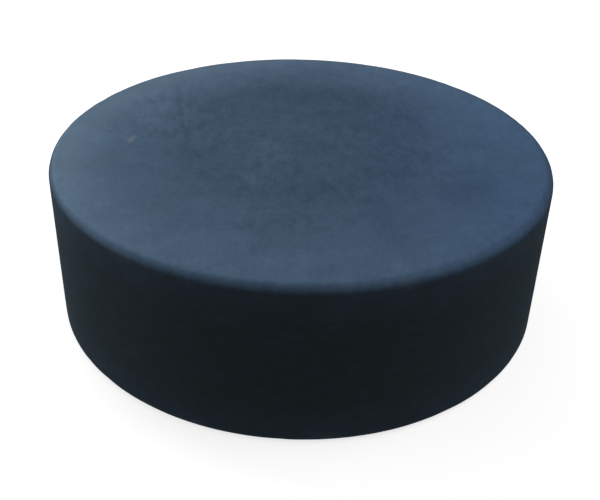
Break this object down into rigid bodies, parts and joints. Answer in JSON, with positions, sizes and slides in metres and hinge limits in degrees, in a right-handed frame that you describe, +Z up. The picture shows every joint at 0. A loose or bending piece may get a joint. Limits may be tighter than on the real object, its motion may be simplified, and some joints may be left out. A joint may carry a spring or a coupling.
{
  "type": "hockey puck",
  "caption": "Plain black rubber disc that players slide over ice, with smooth faces, a straight smooth wall and small rounded edges.",
  "frame": {"origin": "middle of the lower face, on the plane that the puck lies on", "axes": "+Z up along the axis of symmetry; X and Y lie in the plane it rests on, and every direction across it is alike"},
  "size_m": [0.0762, 0.0762, 0.0254],
  "materials": {
    "puck_rubber": "satin moulded rubber, blue-black, with a pale scuffed bloom on the faces"
  },
  "bodies": {
    "root": {"puck": "puck_rubber"}
  },
  "joints": []
}
